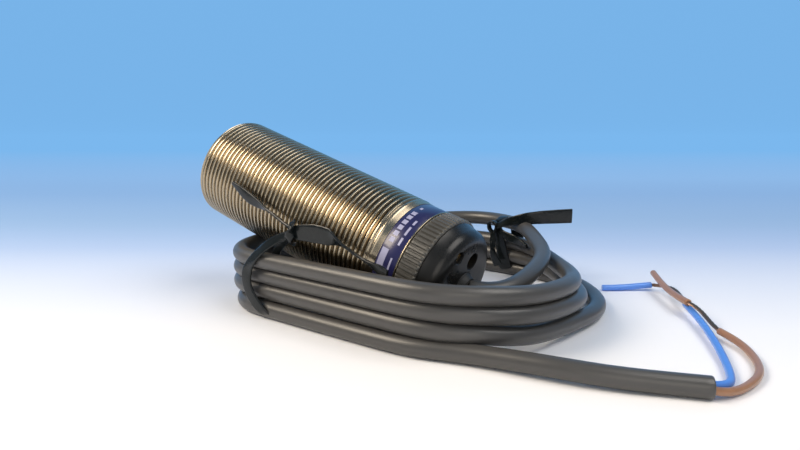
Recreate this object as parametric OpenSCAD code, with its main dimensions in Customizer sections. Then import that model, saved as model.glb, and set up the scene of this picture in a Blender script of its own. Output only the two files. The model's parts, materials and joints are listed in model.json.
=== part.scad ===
// Inductive proximity sensor with an M30 threaded metal barrel, a ribbed rear end with
// a cable, a multi-turn adjusting potentiometer and an indicator lamp. The sensor lies on
// its own coiled cable: the front end rests on the coil, the rear end on the ground.
// Sensor pieces are drawn along +Z from the sensing face, and posed() lays them down.

/* [Barrel] */
// Outside diameter of the thread
thread_d = 30; // [29.9:0.05:30]
// Thread pitch
thread_pitch = 1.5; // [1.5:0.5:2]
// Length of the threaded stretch, from the front face
thread_len = 65; // [60:0.5:66]
// Length of the whole barrel
barrel_len = 72.5; // [72.5:0.5:73]
// Bore of the barrel
barrel_bore_d = 26.6; // [26.4:0.1:26.8]

/* [Rear end] */
// Width of the printed band around the barrel's rear
label_w = 5.6; // [4:0.1:5.6]
// Length of the ribbed grip ring
grip_len = 5.2; // [4.8:0.1:5.6]
// Outside diameter of the grip ring
grip_d = 29.6; // [29:0.1:29.8]
// Number of grip ribs
grip_ribs = 72; // [48:4:72]
// Length of the domed cap that shows behind the grip ring
dome_len = 5.4; // [5:0.1:6]

/* [Adjuster] */
// Travel of the wiper from end to end
wiper_travel = 7; // [6:0.5:7]

/* [Cable] */
// Outside diameter of the cable
cable_d = 4.5; // [4.2:0.1:4.6]
// Outside diameter of each insulated core
core_d = 1.7; // [1.5:0.1:1.9]
// Layers of cable in the coil
coil_layers = 4; // [4:1:4]

/* [Posture] */
// Angle of the barrel below level, from front to rear
tilt = 17; // [16:0.5:18]

/* [Hidden] */
$fn = 96;
gap = 0.1;                  // assembly clearance between neighbouring pieces

// thread form
thread_r = thread_d / 2;
crest_w = 0.3;
root_w = 0.2;
flank_w = (thread_pitch - crest_w - root_w) / 2;
thread_depth = flank_w / tan(30);
thread_start = 0.8;         // the front chamfer's length
rim_r = 14.2;
collar_r = 14.75;           // plain lands on both sides of the printed band
band_r = 14.5;              // floor of the band's recess
bore_r = barrel_bore_d / 2;
thread_turns = floor((thread_len - thread_start - crest_w) / thread_pitch);
band_end = barrel_len - 0.35;
band_start = band_end - label_w;

// rear end, measured along the axis from the front face
grip_start = barrel_len + 0.1;
grip_end = grip_start + grip_len;
grip_r = grip_d / 2;
grip_chamfer = 0.4;
cap_neck_r = 13.2;          // neck of the cap that carries the grip ring
dome_start = grip_end + 0.05;
dome_end = dome_start + dome_len;
dome_r = 13.6;              // dome where its rounding begins
dome_front_r = 14.2;
face_r = 10.4;              // flat rear face of the cap
shoulder = dome_r - face_r;
cap_wall = 1.8;
cable_r = cable_d / 2;
grommet_r = 3.6;
grommet_end = dome_end + 1.8;
screw_x = -6.2;             // adjusting screw above the axis
screw_y = 1.6;
screw_bore_r = 2.2;
lamp_x = -8.6;              // indicator lamp above and beside the axis
lamp_y = -5.6;
lamp_r = 1.5;
led_r = 1.05;
led_start = 70;
led_len = 3.4;

// front end
face_t = 2;
face_r_out = 13.25;
cup_r = 11.9;
cup_depth = 12;
core_r = 11.5;
core_front = 2.3;
core_back = 8;

// electronics
board_w = 22;
board_t = 1.6;
board_start = 14;
board_end = 67;
housing_start = 51;
housing_end = 67;
housing_wall = 0.9;
screw_thread_r = 1.1;
screw_mid = (housing_start + housing_end) / 2;
wiper_len = 2.6;

// where the sensor lies: the grip ring's edge touches the ground
front_z = (grip_end - grip_chamfer) * sin(tilt) + grip_r * cos(tilt);
low_front = rim_r * sin(tilt);
reach = (dome_end - shoulder) * cos(tilt) + face_r * sin(tilt) + shoulder;
front_x = (low_front - reach) / 2;

// coiled cable: the centre line is the outline around these circles, [x, y, r]
coil_circles = [[-17, 0.5, 18], [33, 8.5, 27], [14, 33, 27]];
low_bulge = [36, 32, 27];   // the lowest turn spreads wider on the right
coil_inner = cable_r + 0.05;
coil_outer = 3.2;
coil_h = coil_layers * cable_d;

// routes of the loose stretches, chosen by hand
lead_route = [[42.1, 0, 11.9], [44.6, 0.2, 11.3], [47.2, 1.6, 11.2], [49.2, 4.4, 11.4], [50.2, 8, 11.8],
    [50.4, 13, 12.4], [50.3, 19, 13.1], [49.6, 25, 13.8], [48.6, 30, 14.5], [47, 35, 15.2]];
tail_route = [[43, -16.6, 2.3], [49, -14.8, 2.3], [56, -13.4, 2.5], [64, -12.4, 2.9],
    [72, -11, 2.9], [79, -9, 2.6], [86, -6, 2.4], [91, -3.8, 2.3], [96, -1.8, 2.3]];
blue_route = [[96, -0.9, 2.3], [98.2, 2, 1.6], [98.4, 6, 1.1], [97.4, 11, 1], [95.4, 18, 1.2],
    [92.6, 26, 1.6], [89, 35, 2], [85.4, 43, 2.2], [82, 50, 2.3]];
blue_bare = [[82, 50, 2.3], [79.6, 57, 2.6], [77, 62.6, 2.6], [73.4, 66, 2.2], [69.6, 66, 1.8]];
blue_loose = [[69.6, 66, 1.8], [67.2, 64.6, 1.5], [63.6, 61.8, 1.1], [60.4, 59, 0.9], [57.4, 57.2, 0.9]];
brown_route = [[96, -2.9, 2.1], [98.8, -0.4, 1.2], [101, 5.6, 0.9], [102.4, 11, 0.9], [102.5, 16.6, 0.9],
    [101, 22.4, 1], [98.6, 27.4, 1.3], [95.6, 31.2, 1.6], [92.4, 33.6, 1.9]];
brown_bare = [[92.4, 33.6, 1.9], [90.2, 36.4, 2.4], [88.2, 40.4, 3.2], [86, 43.8, 3.9], [83.4, 45.6, 4.1]];
brown_loose = [[83.4, 45.6, 4.1], [80, 50.4, 3.8], [76, 57, 3.6], [72, 64.6, 4], [69, 70.4, 4.6]];
bare_d = 1.1;
loose_d = core_d + 0.1;

// twisted ties
tie_w = 4.2;
tie_t = 0.7;
front_knot = [-1, -18.6, 22.6];
rear_knot = [20.2, 54.6, 18.2];

// Lays a sensor piece down in its resting place.
module posed() {
    translate([front_x, 0, front_z])
        rotate([0, 90 + tilt, 0])
            children();
}

// A ring or tube around the axis, from z0 to z1.
module ring(r_in, r_out, z0, z1) {
    translate([0, 0, z0])
        difference() {
            cylinder(r = r_out, h = z1 - z0);
            translate([0, 0, -1])
                cylinder(r = r_in, h = z1 - z0 + 2);
        }
}

// A block on the circuit board's upper (side = -1) or lower (side = 1) surface.
module on_board(side, y, z, size) {
    lift = board_t / 2 + 0.02;
    translate([side < 0 ? -lift - size[0] : lift, y - size[1] / 2, z])
        cube(size);
}

// Sweeps a round section along a route, with one ring at each point.
module sweep(route, r, sides = 8) {
    n = len(route);
    points = [for (i = [0:n - 1])
        let (a = route[max(i - 1, 0)], b = route[min(i + 1, n - 1)], t = (b - a) / norm(b - a),
            u = cross([0, 0, 1], t) / norm(cross([0, 0, 1], t)), v = cross(t, u))
        for (k = [0:sides - 1])
            route[i] + r * (cos(360 * k / sides) * u + sin(360 * k / sides) * v)];
    walls = [for (i = [0:n - 2], k = [0:sides - 1])
        let (m = (k + 1) % sides)
        [i * sides + k, (i + 1) * sides + k, (i + 1) * sides + m, i * sides + m]];
    start = [[for (k = [0:sides - 1]) k]];
    end = [[for (k = [sides - 1:-1:0]) (n - 1) * sides + k]];
    polyhedron(points = points, faces = concat(start, walls, end));
}

// One leaf of a flat tie, from point a to point b, standing on its edge.
module tie_leaf(a, b, w = tie_w) {
    hull() {
        for (p = [a, b])
            translate(p)
                cube([tie_t, tie_t, w], center = true);
    }
}

// Threaded sleeve with a plain bore, a recessed band and a rear land.
module barrel() {
    teeth = [for (i = [0:thread_turns - 1])
        let (z = thread_start + i * thread_pitch)
        each [[thread_r, z], [thread_r, z + crest_w],
            [thread_r - thread_depth, z + crest_w + flank_w],
            [thread_r - thread_depth, z + crest_w + flank_w + root_w]]];
    last = thread_start + thread_turns * thread_pitch;
    outline = concat([[bore_r, 0], [rim_r, 0]], teeth,
        [[thread_r, last], [thread_r, last + crest_w], [collar_r, last + crest_w + 0.25],
        [collar_r, band_start], [band_r, band_start], [band_r, band_end],
        [collar_r, band_end], [collar_r, barrel_len], [bore_r, barrel_len]]);
    color("silver")
        posed()
            rotate_extrude()
                polygon(outline);
}

// Plastic cup that closes the front: its floor is the sensing face.
module sensing_face() {
    color("dimgray")
        posed()
            difference() {
                translate([0, 0, 0.3])
                    cylinder(r = face_r_out, h = cup_depth - 0.3);
                translate([0, 0, face_t])
                    cylinder(r = cup_r, h = cup_depth);
                ring(face_r_out - 0.9, face_r_out + 1, 8, 9.1);
            }
}

// O-ring in the cup's groove.
module front_seal() {
    color("black")
        posed()
            translate([0, 0, 8.55])
                rotate_extrude()
                    translate([face_r_out - 0.45, 0])
                        circle(r = 0.42, $fn = 24);
}

// Half of a pot core: a ring channel open to the front, around a centre post.
module ferrite_core() {
    color("slategray")
        posed()
            difference() {
                translate([0, 0, core_front])
                    cylinder(r = core_r, h = core_back - core_front);
                ring(4.5, 9.6, core_front - 1, core_back - 1.3);
                cylinder(r = 1.2, h = core_back + 1);
            }
}

// Flanged spool in the core's channel.
module coil_bobbin() {
    color("ivory")
        posed() {
            ring(4.6, 5.2, core_front + 0.2, core_back - 1.5);
            ring(5.2, 9.4, core_front + 0.2, core_front + 0.6);
            ring(5.2, 9.4, core_back - 1.9, core_back - 1.5);
        }
}

// Fine copper winding on the spool.
module coil_winding() {
    color("chocolate")
        posed()
            ring(5.25, 9.1, core_front + 0.65, core_back - 1.95);
}

// Cast resin behind the core, with a slot that holds the board's front edge.
module potting_resin() {
    color("darkslategray")
        posed()
            difference() {
                union() {
                    translate([0, 0, core_back + 0.2])
                        cylinder(r = cup_r - gap, h = 6);
                    translate([0, 0, cup_depth + 0.1])
                        cylinder(r = bore_r - gap, h = 8);
                }
                translate([-board_t / 2 - 0.05, -board_w / 2 - 0.05, board_start - 0.05])
                    cube([board_t + 0.1, board_w + 0.1, 20]);
            }
}

// Board that runs the length of the barrel.
module circuit_board() {
    color("darkgreen")
        posed()
            translate([-board_t / 2, -board_w / 2, board_start])
                cube([board_t, board_w, board_end - board_start]);
}

// Oscillator and timing circuit.
module oscillator_chip() {
    color("black")
        posed()
            on_board(-1, 0, 23, [1.6, 6, 10]);
}

// Four-pin rectifier.
module bridge_rectifier() {
    color("black")
        posed()
            on_board(1, -5, 24, [3.2, 6.4, 8]);
}

// Output thyristor with a metal tab.
module switching_thyristor() {
    color("black")
        posed()
            difference() {
                on_board(1, 0, 50, [3, 8, 11]);
                translate([0, 0, 58.6])
                    rotate([0, 90, 0])
                        cylinder(r = 1.6, h = 10);
            }
}

// Can capacitor lying on the board.
module smoothing_capacitor() {
    color("navy")
        posed()
            translate([-board_t / 2 - 3.3, -4, 36])
                cylinder(r = 3.2, h = 11);
}

// Disc varistor lying under the board.
module surge_varistor() {
    color("royalblue")
        posed()
            translate([board_t / 2 + 0.1, 0, 40])
                rotate([0, 90, 0])
                    cylinder(r = 4.5, h = 3.4);
}

// Row of small resistors.
module chip_resistors() {
    color("dimgray")
        posed()
            for (i = [0:5])
                on_board(-1, i % 2 == 0 ? 6 : 8.5, 22 + 3.4 * i, [0.6, 1.25, 2]);
}

// Lamp at the board's rear edge, under the light guide.
module status_led() {
    color("gold")
        posed()
            translate([lamp_x, lamp_y, led_start]) {
                cylinder(r = led_r, h = led_len);
                translate([0, 0, led_len])
                    sphere(r = led_r, $fn = 48);
            }
}

// Clear plug that carries the lamp's light through the cap.
module light_guide() {
    color("khaki")
        posed()
            translate([lamp_x, lamp_y, dome_end - 3.6])
                cylinder(r = lamp_r - 0.02, h = 2.9);
}

// Case of the multi-turn potentiometer, open at its rear end.
module trimmer_housing() {
    color("royalblue")
        posed()
            difference() {
                translate([-board_t / 2 - 8.4, screw_y - 3, housing_start])
                    cube([8.3, 6, housing_end - housing_start]);
                translate([-board_t / 2 - 8.4 + housing_wall, screw_y - 3 + housing_wall,
                    housing_start + housing_wall])
                    cube([8.3 - 2 * housing_wall, 6 - 2 * housing_wall, housing_end]);
            }
}

// End plate with the adjusting screw's bearing.
module trimmer_end_plate() {
    color("royalblue")
        posed()
            difference() {
                translate([-board_t / 2 - 8.4, screw_y - 3, housing_end + 0.05])
                    cube([8.3, 6, 1.6]);
                translate([screw_x, screw_y, housing_end - 1])
                    cylinder(r = 1.2, h = 5);
            }
}

// Resistive track under the wiper.
module resistive_strip() {
    color("black")
        posed()
            translate([-board_t / 2 - 1.5, screw_y - 1.8, housing_start + housing_wall + 0.1])
                cube([0.45, 3.6, 2 * wiper_travel]);
}

// Adjusting screw: lead thread inside the potentiometer, journal and slotted head.
module trimmer_screw() {
    head_z = dome_end - 2.2;
    color("goldenrod")
        posed()
            translate([screw_x, screw_y, 0])
                difference() {
                    union() {
                        translate([0, 0, housing_start + 1.3])
                            cylinder(r = screw_thread_r, h = housing_end - housing_start - 1.5);
                        translate([0, 0, housing_end - 0.4])
                            cylinder(r = 1.15, h = head_z - housing_end - 0.6);
                        translate([0, 0, head_z - 1.2])
                            cylinder(r = 1.75, h = 1.2);
                    }
                    translate([-3, -0.25, head_z - 0.6])
                        cube([6, 0.5, 1]);
                }
}

// Wiper carriage with a bore on the lead thread and a contact spring.
module trimmer_wiper() {
    color("orange")
        posed()
            difference() {
                union() {
                    translate([screw_x - 1.75, screw_y - 1.75, screw_mid - wiper_len / 2])
                        cube([3.5, 3.5, wiper_len]);
                    translate([screw_x + 1.7, screw_y - 0.8, screw_mid - 0.6])
                        cube([1.8, 1.6, 1.2]);
                }
                translate([screw_x, screw_y, screw_mid - 3])
                    cylinder(r = screw_thread_r + 0.05, h = 6);
            }
}

// Printed band in the barrel's recess.
module label_band() {
    color("midnightblue")
        posed()
            ring(band_r + 0.02, band_r + 0.17, band_start + 0.05, band_end - 0.05);
}

// Grip ring: ribs along the axis, chamfered at both ends.
module grip_ring() {
    step = 360 / grip_ribs;
    root_r = grip_r - 0.45;
    rib = [[-0.3, grip_r], [0.3, grip_r], [0.42, root_r], [0.58, root_r]];
    teeth = [for (i = [0:grip_ribs - 1], c = rib)
        c[1] * [cos(step * (i + c[0])), sin(step * (i + c[0]))]];
    color("darkslategray")
        posed()
            difference() {
                intersection() {
                    translate([0, 0, grip_start])
                        linear_extrude(grip_len)
                            polygon(teeth);
                    rotate_extrude()
                        polygon([[0, grip_start], [grip_r - grip_chamfer, grip_start],
                            [grip_r + 0.01, grip_start + grip_chamfer], [grip_r + 0.01, grip_end - grip_chamfer],
                            [grip_r - grip_chamfer, grip_end], [0, grip_end]]);
                }
                translate([0, 0, grip_start - 1])
                    cylinder(r = cap_neck_r + 0.05, h = grip_len + 2);
            }
}

// Domed rear cap: spigot in the barrel, neck under the grip ring, holes for the cable,
// the adjusting screw and the lamp.
module rear_cap() {
    spigot_start = 67.5;
    inner_r = cap_neck_r - cap_wall;
    color("black")
        posed()
            difference() {
                union() {
                    rotate_extrude()
                        polygon(concat(
                            [[inner_r, spigot_start], [bore_r - 0.05, spigot_start],
                            [bore_r - 0.05, 69], [bore_r - 0.9, 69], [bore_r - 0.9, 70.1],
                            [bore_r - 0.05, 70.1], [bore_r - 0.05, barrel_len - 0.1],
                            [cap_neck_r, barrel_len], [cap_neck_r, dome_start], [dome_front_r, dome_start],
                            [dome_r, dome_end - shoulder]],
                            [for (q = [10:10:90])
                                [face_r + shoulder * cos(q), dome_end - shoulder + shoulder * sin(q)]],
                            [[0, dome_end], [0, dome_end - cap_wall], [inner_r - 2.4, dome_end - cap_wall],
                            [inner_r, dome_end - cap_wall - 2.4]]));
                    ring(cable_r, grommet_r + 1.6, dome_end - 7, dome_end - 1);
                }
                translate([0, 0, dome_end - 7.5])
                    cylinder(r = grommet_r + 0.02, h = 12);
                translate([screw_x, screw_y, dome_end - 8])
                    cylinder(r = screw_bore_r, h = 12);
                translate([lamp_x, lamp_y, dome_end - 8])
                    cylinder(r = lamp_r, h = 12);
            }
}

// O-ring in the spigot's groove.
module rear_seal() {
    color("black")
        posed()
            translate([0, 0, 69.55])
                rotate_extrude()
                    translate([bore_r - 0.47, 0])
                        circle(r = 0.42, $fn = 24);
}

// Crimped ring that holds the cable inside the cap.
module cable_clamp() {
    color("silver")
        posed()
            ring(cable_r + 0.02, 3.3, dome_end - 11, dome_end - 7.6);
}

// Rubber sleeve in the cap, tapered where the cable leaves it.
module cable_grommet() {
    color("black")
        posed()
            rotate_extrude()
                polygon([[cable_r + 0.02, dome_end - 6.9], [grommet_r, dome_end - 6.9],
                    [grommet_r, dome_end + 0.3], [grommet_r - 0.3, dome_end + 0.6],
                    [cable_r + 0.45, grommet_end], [cable_r + 0.02, grommet_end]]);
}

// The cable's jacket inside the cap.
module inner_cable() {
    color("black")
        posed()
            translate([0, 0, dome_end - 12])
                cylinder(r = cable_r, h = grommet_end - dome_end + 12);
}

// The two cores from the jacket's inner end to the board.
module inner_leads() {
    color("steelblue")
        posed()
            for (side = [-1, 1])
                translate([0, side * 1.0, board_end + 0.1])
                    cylinder(r = core_d / 2, h = dome_end - 12.1 - board_end - 0.1);
}

// Free stretch of cable from the grommet over the back of the coil.
module cable_lead() {
    color("black")
        sweep(lead_route, cable_r, 10);
}

// The outline around the coil's circles, grown by a distance.
module coil_outline(circles, grow) {
    hull() {
        for (c = circles)
            translate([c[0], c[1]])
                circle(r = c[2] + grow, $fn = 72);
    }
}

// A closed band along the outline around the coil's circles.
module coil_band(circles, outer) {
    difference() {
        coil_outline(circles, outer);
        coil_outline(circles, -coil_inner);
    }
}

// Outer shape of the coiled turns, with the lowest turn spread on the right.
module cable_coil() {
    color("black")
        difference() {
            union() {
                linear_extrude(coil_h)
                    coil_band(coil_circles, coil_outer);
                linear_extrude(cable_d)
                    coil_band(concat(coil_circles, [low_bulge]), cable_r);
            }
            translate([0, 0, -1])
                linear_extrude(coil_h + 2)
                    coil_outline(coil_circles, -coil_inner);
        }
}

// Free stretch of cable from the coil to its cut end.
module cable_tail() {
    color("black")
        sweep(tail_route, cable_r, 10);
}

// Blue core from the jacket's cut end to its stripped end.
module blue_core() {
    color("royalblue")
        sweep(blue_route, core_d / 2);
}

// Bare strands of the blue core.
module blue_strands() {
    color("chocolate")
        sweep(blue_bare, bare_d / 2);
}

// Cut piece of blue insulation left on the strands' tip.
module blue_slug() {
    color("royalblue")
        sweep(blue_loose, loose_d / 2);
}

// Brown core from the jacket's cut end to its stripped end.
module brown_core() {
    color("sienna")
        sweep(brown_route, core_d / 2);
}

// Bare strands of the brown core.
module brown_strands() {
    color("chocolate")
        sweep(brown_bare, bare_d / 2);
}

// Cut piece of brown insulation left on the strands' tip.
module brown_slug() {
    color("sienna")
        sweep(brown_loose, loose_d / 2);
}

// A tie's loop around the coil's section, at a place and a heading in plan.
module tie_loop(place, heading) {
    half_in = coil_inner + 0.5;
    half_out = coil_outer + 0.6;
    translate([place[0], place[1], 0])
        rotate([0, 0, heading])
            translate([-tie_w / 2, -half_out, 0])
                difference() {
                    cube([tie_w, half_out + half_in, coil_h + tie_t]);
                    translate([-1, tie_t, tie_t])
                        cube([tie_w + 2, half_out + half_in - 2 * tie_t, coil_h - tie_t]);
                }
}

// Tie around the front of the coil, with its twist and two flat ends beside the barrel.
module front_tie() {
    color("black") {
        tie_loop([-12, -17.8], 0);
        tie_leaf([-12, -17.8, coil_h + 1.6], front_knot, 3);
        translate(front_knot)
            sphere(r = 1.9, $fn = 24);
        tie_leaf(front_knot, [-12.6, -17.2, 29.4]);
        tie_leaf([-12.6, -17.2, 29.4], [-23.4, -16.9, 34.6]);
        tie_leaf(front_knot, [15.6, -18, 22.6], 3);
        tie_leaf([15.6, -18, 22.6], [30.6, -18.2, 19.6], 3);
    }
}

// Tie around the back of the coil, with its twist and one flat end.
module rear_tie() {
    color("black") {
        tie_loop([21, 58.6], 165);
        translate(rear_knot)
            sphere(r = 1.7, $fn = 24);
        tie_leaf(rear_knot, [30, 49.8, 20.4], 3);
        tie_leaf([30, 49.8, 20.4], [36, 49.6, 21.4], 3.6);
        tie_leaf([36, 49.6, 21.4], [45.6, 60.4, 21.4]);
    }
}

barrel();
sensing_face();
front_seal();
ferrite_core();
coil_bobbin();
coil_winding();
potting_resin();
circuit_board();
oscillator_chip();
bridge_rectifier();
switching_thyristor();
smoothing_capacitor();
surge_varistor();
chip_resistors();
status_led();
light_guide();
trimmer_housing();
trimmer_end_plate();
resistive_strip();
trimmer_screw();
trimmer_wiper();
label_band();
grip_ring();
rear_cap();
rear_seal();
cable_clamp();
cable_grommet();
inner_cable();
inner_leads();
cable_lead();
cable_coil();
cable_tail();
blue_core();
blue_strands();
blue_slug();
brown_core();
brown_strands();
brown_slug();
front_tie();
rear_tie();
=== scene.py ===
"""An inductive proximity sensor that lies on its own coiled cable: the looks of every piece.

The sensor's pieces are turned about its sloping axis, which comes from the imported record. Sizes
are in millimetres, apart from the cable's routes and the camera, which are in metres.
"""

import json
import logging
import math
from dataclasses import dataclass
from enum import Enum
from typing import Callable, Optional, Sequence

import bpy
import numpy as np
from mathutils import Matrix, Vector


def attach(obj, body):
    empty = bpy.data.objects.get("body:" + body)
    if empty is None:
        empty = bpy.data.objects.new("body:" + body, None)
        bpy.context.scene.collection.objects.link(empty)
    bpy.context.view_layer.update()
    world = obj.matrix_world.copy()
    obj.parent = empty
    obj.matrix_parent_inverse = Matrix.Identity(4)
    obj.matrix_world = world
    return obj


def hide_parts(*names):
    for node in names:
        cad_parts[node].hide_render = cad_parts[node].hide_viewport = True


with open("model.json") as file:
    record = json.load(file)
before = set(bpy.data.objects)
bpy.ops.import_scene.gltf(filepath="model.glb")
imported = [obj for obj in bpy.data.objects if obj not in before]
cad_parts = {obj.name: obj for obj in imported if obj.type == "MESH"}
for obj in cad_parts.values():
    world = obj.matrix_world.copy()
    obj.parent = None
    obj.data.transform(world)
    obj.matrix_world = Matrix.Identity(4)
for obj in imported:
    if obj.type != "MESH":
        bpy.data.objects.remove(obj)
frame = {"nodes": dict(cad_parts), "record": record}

log = logging.getLogger("sensor")
MM = 0.001
BODY = "sensor"


# ---------------------------------------------------------------------------------------------
# Small tools
# ---------------------------------------------------------------------------------------------


def linear(code: str) -> tuple[float, float, float, float]:
    """Turns an sRGB hex colour to linear.

    Args:
        code: Six hex digits, with or without a leading #.

    Returns:
        The linear red, green and blue, and an alpha of 1.
    """
    digits = code.lstrip("#")
    values = [int(digits[i:i + 2], 16) / 255 for i in (0, 2, 4)]
    curve = [v / 12.92 if v <= 0.04045 else ((v + 0.055) / 1.055) ** 2.4 for v in values]
    return curve[0], curve[1], curve[2], 1.0


def smooth(low: float, high: float, value: np.ndarray) -> np.ndarray:
    """A soft step from 0 at low to 1 at high."""
    t = np.clip((value - low) / (high - low), 0.0, 1.0)
    return t * t * (3 - 2 * t)


def add_node(tree: bpy.types.NodeTree, kind: str, links: Optional[dict] = None,
             **settings) -> bpy.types.Node:
    """Adds a shader node.

    Args:
        tree: The node tree that gets the node.
        kind: The node's type name.
        links: Values for the node's inputs, by socket name or index. A socket is linked.
        settings: The node's own properties.

    Returns:
        The new node.
    """
    made = tree.nodes.new(kind)
    for name, value in settings.items():
        setattr(made, name, value)
    for key, value in (links or {}).items():
        if isinstance(value, bpy.types.NodeSocket):
            tree.links.new(value, made.inputs[key])
        else:
            made.inputs[key].default_value = value
    return made


@dataclass(frozen=True)
class SensorFrame:
    """The sensor's own axes: x is down, y is across, and s runs from the sensing face to the cable."""

    front: Vector
    along: Vector

    @classmethod
    def from_record(cls, mount: str = "thread", middle: float = 32.45) -> "SensorFrame":
        """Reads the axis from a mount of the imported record.

        Args:
            mount: The mount on the sensor's axis.
            middle: The mount's distance behind the front face, in millimetres.

        Returns:
            The sensor's frame.
        """
        found = next(m for m in frame["record"]["mounts"] if m["name"] == mount)
        along = -Vector(found["axis"]).normalized()
        return cls(Vector(found["pos_m"]) - along * middle * MM, along)

    def matrix(self) -> Matrix:
        """The matrix that takes x, y, s in metres to the shared frame."""
        side = Vector((0, 1, 0))
        down = side.cross(self.along)
        return Matrix.Translation(self.front) @ Matrix((down, side, self.along)).transposed().to_4x4()


def grid_mesh(name: str, points: np.ndarray, wrap_rows: bool = False, wrap_cols: bool = True,
              caps: bool = False, crease: float = 35.0) -> bpy.types.Mesh:
    """Makes a mesh from a grid of points.

    Args:
        name: The mesh's name.
        points: The points, as an array of rows by columns by 3.
        wrap_rows: Whether the last row joins the first.
        wrap_cols: Whether the last column joins the first.
        caps: Whether the first and the last row are closed with a face.
        crease: The angle in degrees above which an edge stays sharp.

    Returns:
        The mesh, with its faces outward where the columns run anticlockwise seen along the rows.
    """
    rows, cols = points.shape[:2]
    i = np.arange(rows if wrap_rows else rows - 1)[:, None]
    j = np.arange(cols if wrap_cols else cols - 1)[None, :]
    up, right = (i + 1) % rows, (j + 1) % cols
    quads = np.stack([i * cols + j, i * cols + right, up * cols + right, up * cols + j], -1)
    faces = quads.reshape(-1, 4).tolist()
    if caps:
        faces.append(list(range(cols))[::-1])
        faces.append([(rows - 1) * cols + c for c in range(cols)])
    mesh = bpy.data.meshes.new(name)
    mesh.from_pydata(points.reshape(-1, 3).tolist(), [], faces)
    finish_mesh(mesh, crease)
    return mesh


def finish_mesh(mesh: bpy.types.Mesh, crease: float) -> None:
    """Shades a mesh smooth with sharp edges above an angle in degrees."""
    mesh.polygons.foreach_set("use_smooth", [True] * len(mesh.polygons))
    mesh.set_sharp_from_angle(angle=math.radians(crease))
    mesh.update()


def join_meshes(name: str, meshes: Sequence[bpy.types.Mesh]) -> bpy.types.Mesh:
    """Joins meshes into one.

    Args:
        name: The new mesh's name.
        meshes: The meshes to join.

    Returns:
        One mesh with all their faces.
    """
    points: list = []
    faces: list = []
    for mesh in meshes:
        start = len(points)
        points += [tuple(v.co) for v in mesh.vertices]
        faces += [[start + k for k in p.vertices] for p in mesh.polygons]
    joined = bpy.data.meshes.new(name)
    joined.from_pydata(points, [], faces)
    finish_mesh(joined, 35.0)
    return joined


def place(name: str, mesh: bpy.types.Mesh, finish: "Finish",
          nodes: Sequence[str] = (), body: str = BODY) -> bpy.types.Object:
    """Makes a piece from a mesh and lets it ride on its body.

    Args:
        name: The piece's name.
        mesh: Its mesh, in the shared frame.
        finish: Its finish.
        nodes: The CAD nodes that it replaces.
        body: The body that it rides on.

    Returns:
        The piece.
    """
    piece = bpy.data.objects.new(name, mesh)
    bpy.context.scene.collection.objects.link(piece)
    mesh.materials.append(finish.material())
    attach(piece, body)
    if nodes:
        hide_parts(*nodes)
    return piece


def with_holes(mesh: bpy.types.Mesh, cutters: Sequence[bpy.types.Mesh],
               crease: float = 30.0) -> bpy.types.Mesh:
    """Cuts closed meshes out of a mesh.

    Args:
        mesh: The closed mesh to cut.
        cutters: The closed meshes to take away.
        crease: The angle in degrees above which an edge stays sharp.

    Returns:
        A new mesh with the holes.
    """
    base = bpy.data.objects.new("cut_base", mesh)
    bpy.context.scene.collection.objects.link(base)
    tools = []
    for index, cutter in enumerate(cutters):
        tool = bpy.data.objects.new(f"cut_tool_{index}", cutter)
        bpy.context.scene.collection.objects.link(tool)
        change = base.modifiers.new(f"cut_{index}", "BOOLEAN")
        change.object = tool
        change.operation = "DIFFERENCE"
        change.solver = "EXACT"
        tools.append(tool)
    bpy.context.view_layer.update()
    graph = bpy.context.evaluated_depsgraph_get()
    result = bpy.data.meshes.new_from_object(base.evaluated_get(graph))
    for thing in [base, *tools]:
        bpy.data.objects.remove(thing, do_unlink=True)
    finish_mesh(result, crease)
    return result


# ---------------------------------------------------------------------------------------------
# Finishes
# ---------------------------------------------------------------------------------------------


class Pattern(Enum):
    """The fine surface pattern of a finish."""

    TURNED = "turned"
    MOULDED = "moulded"
    SPARKED = "sparked"
    EXTRUDED = "extruded"
    DRAWN = "drawn"
    FILM = "film"


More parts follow.
